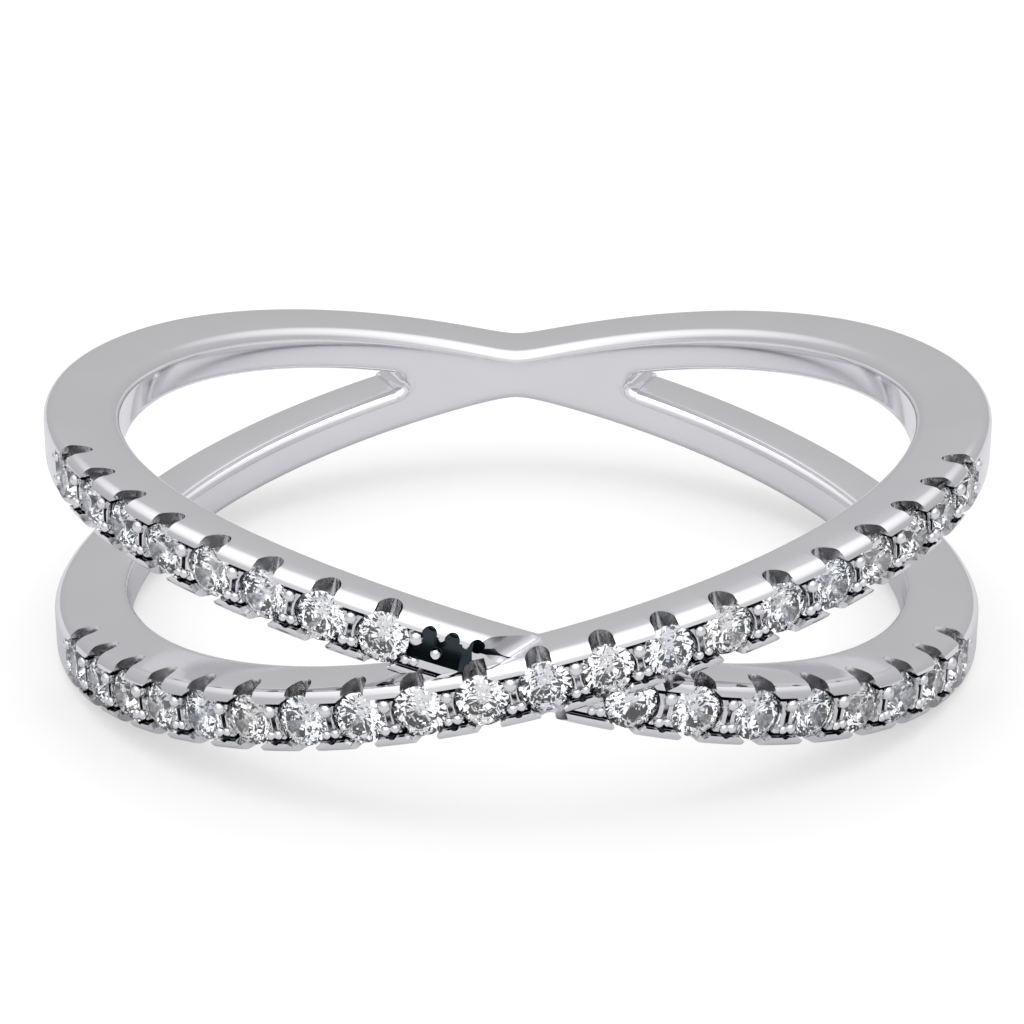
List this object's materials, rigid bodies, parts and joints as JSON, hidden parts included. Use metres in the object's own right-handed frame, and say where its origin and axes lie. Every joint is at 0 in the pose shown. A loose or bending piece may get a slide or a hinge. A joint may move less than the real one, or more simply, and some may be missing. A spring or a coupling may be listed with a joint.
{
  "type": "crossover ring",
  "caption": "Crossover finger ring: slim metal strands cross at the front, where small round clear stones pave them, and join in one at the back.",
  "frame": {"origin": "centre of the finger hole, halfway up the ring", "axes": "+Z along the finger's axis, upwards as the ring lies on its side; the front crossing faces -Y; seen from the front the strand that passes over rises towards +X"},
  "size_m": [0.0206, 0.0207, 0.0056],
  "materials": {
    "silver": "sterling silver with bright rhodium plate, polished",
    "zirconia": "colourless cubic zirconia, round brilliant cut"
  },
  "bodies": {
    "root": {"band": "silver", "over_pave": "zirconia", "under_pave_left": "zirconia", "under_pave_right": "zirconia"}
  },
  "joints": []
}
